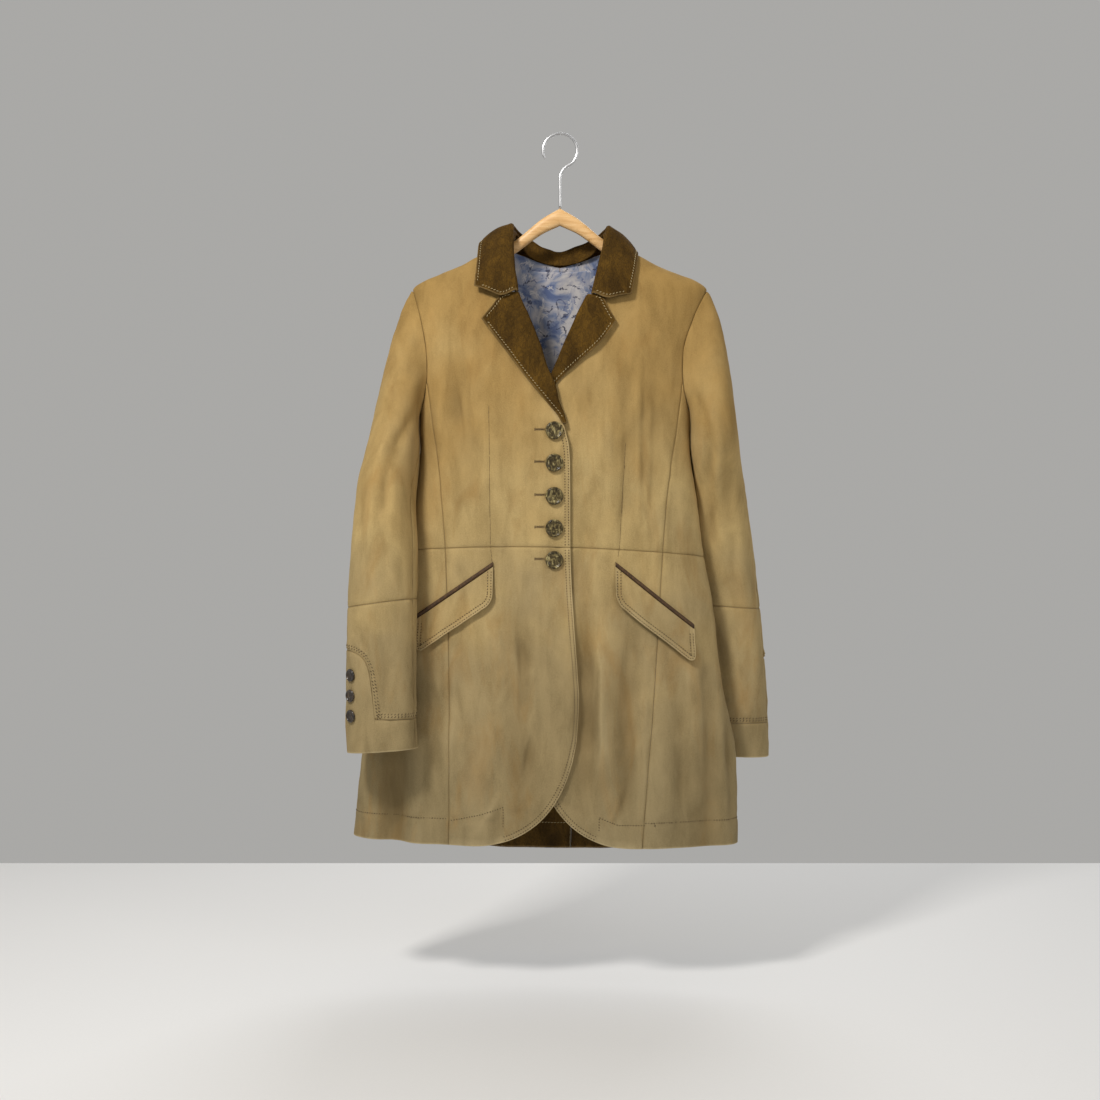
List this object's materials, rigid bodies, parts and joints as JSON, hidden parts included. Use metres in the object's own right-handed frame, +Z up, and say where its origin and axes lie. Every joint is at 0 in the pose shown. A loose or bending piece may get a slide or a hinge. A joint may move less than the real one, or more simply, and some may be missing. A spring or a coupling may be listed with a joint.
{
  "type": "suede coat on a wooden hanger",
  "caption": "Tailored tan suede coat with brown notched collar, cutaway fronts, slanted flap pockets and horn buttons, hung on a wooden hanger with a wire hook.",
  "frame": {"origin": "inside top of the hanger's hook, where it hangs on a rod", "axes": "+Z up, -Y the coat's front, +X the viewer's right from the front (the wearer's left)"},
  "size_m": [0.5731, 0.2067, 0.9862],
  "materials": {
    "tan_suede": "soft napped suede, mottled",
    "brown_suede": "dark napped suede, streaked",
    "dark_suede": "dark piping leather",
    "lining_cloth": "smooth printed lining",
    "horn": "polished mottled horn",
    "pine": "pale satin wood",
    "hook_steel": "bright plated wire"
  },
  "bodies": {
    "root": {"bodice_front_right": "tan_suede", "bodice_side_right": "tan_suede", "bodice_back_right": "tan_suede", "skirt_front_right": "tan_suede", "skirt_side_right": "tan_suede", "skirt_back_right": "tan_suede", "sleeve_top_right": "tan_suede", "sleeve_under_right": "tan_suede", "forearm_top_right": "tan_suede", "forearm_under_right": "tan_suede", "cuff_top_right": "tan_suede", "cuff_under_right": "tan_suede", "pocket_flap_right": "tan_suede", "pocket_welt_right": "dark_suede", "lapel_right": "brown_suede", "hem_facing_right": "brown_suede", "button_cuff_right_1": "horn", "button_cuff_right_2": "horn", "button_cuff_right_3": "horn", "bodice_front_left": "tan_suede", "bodice_side_left": "tan_suede", "bodice_back_left": "tan_suede", "skirt_front_left": "tan_suede", "skirt_side_left": "tan_suede", "skirt_back_left": "tan_suede", "sleeve_top_left": "tan_suede", "sleeve_under_left": "tan_suede", "forearm_top_left": "tan_suede", "forearm_under_left": "tan_suede", "cuff_top_left": "tan_suede", "cuff_under_left": "tan_suede", "pocket_flap_left": "tan_suede", "pocket_welt_left": "dark_suede", "lapel_left": "brown_suede", "hem_facing_left": "brown_suede", "button_cuff_left_1": "horn", "button_cuff_left_2": "horn", "button_cuff_left_3": "horn", "button_front_1": "horn", "button_front_2": "horn", "button_front_3": "horn", "button_front_4": "horn", "button_front_5": "horn", "collar": "brown_suede", "lining_back": "lining_cloth", "hanger_bar": "pine", "hanger_hook": "hook_steel"}
  },
  "joints": []
}
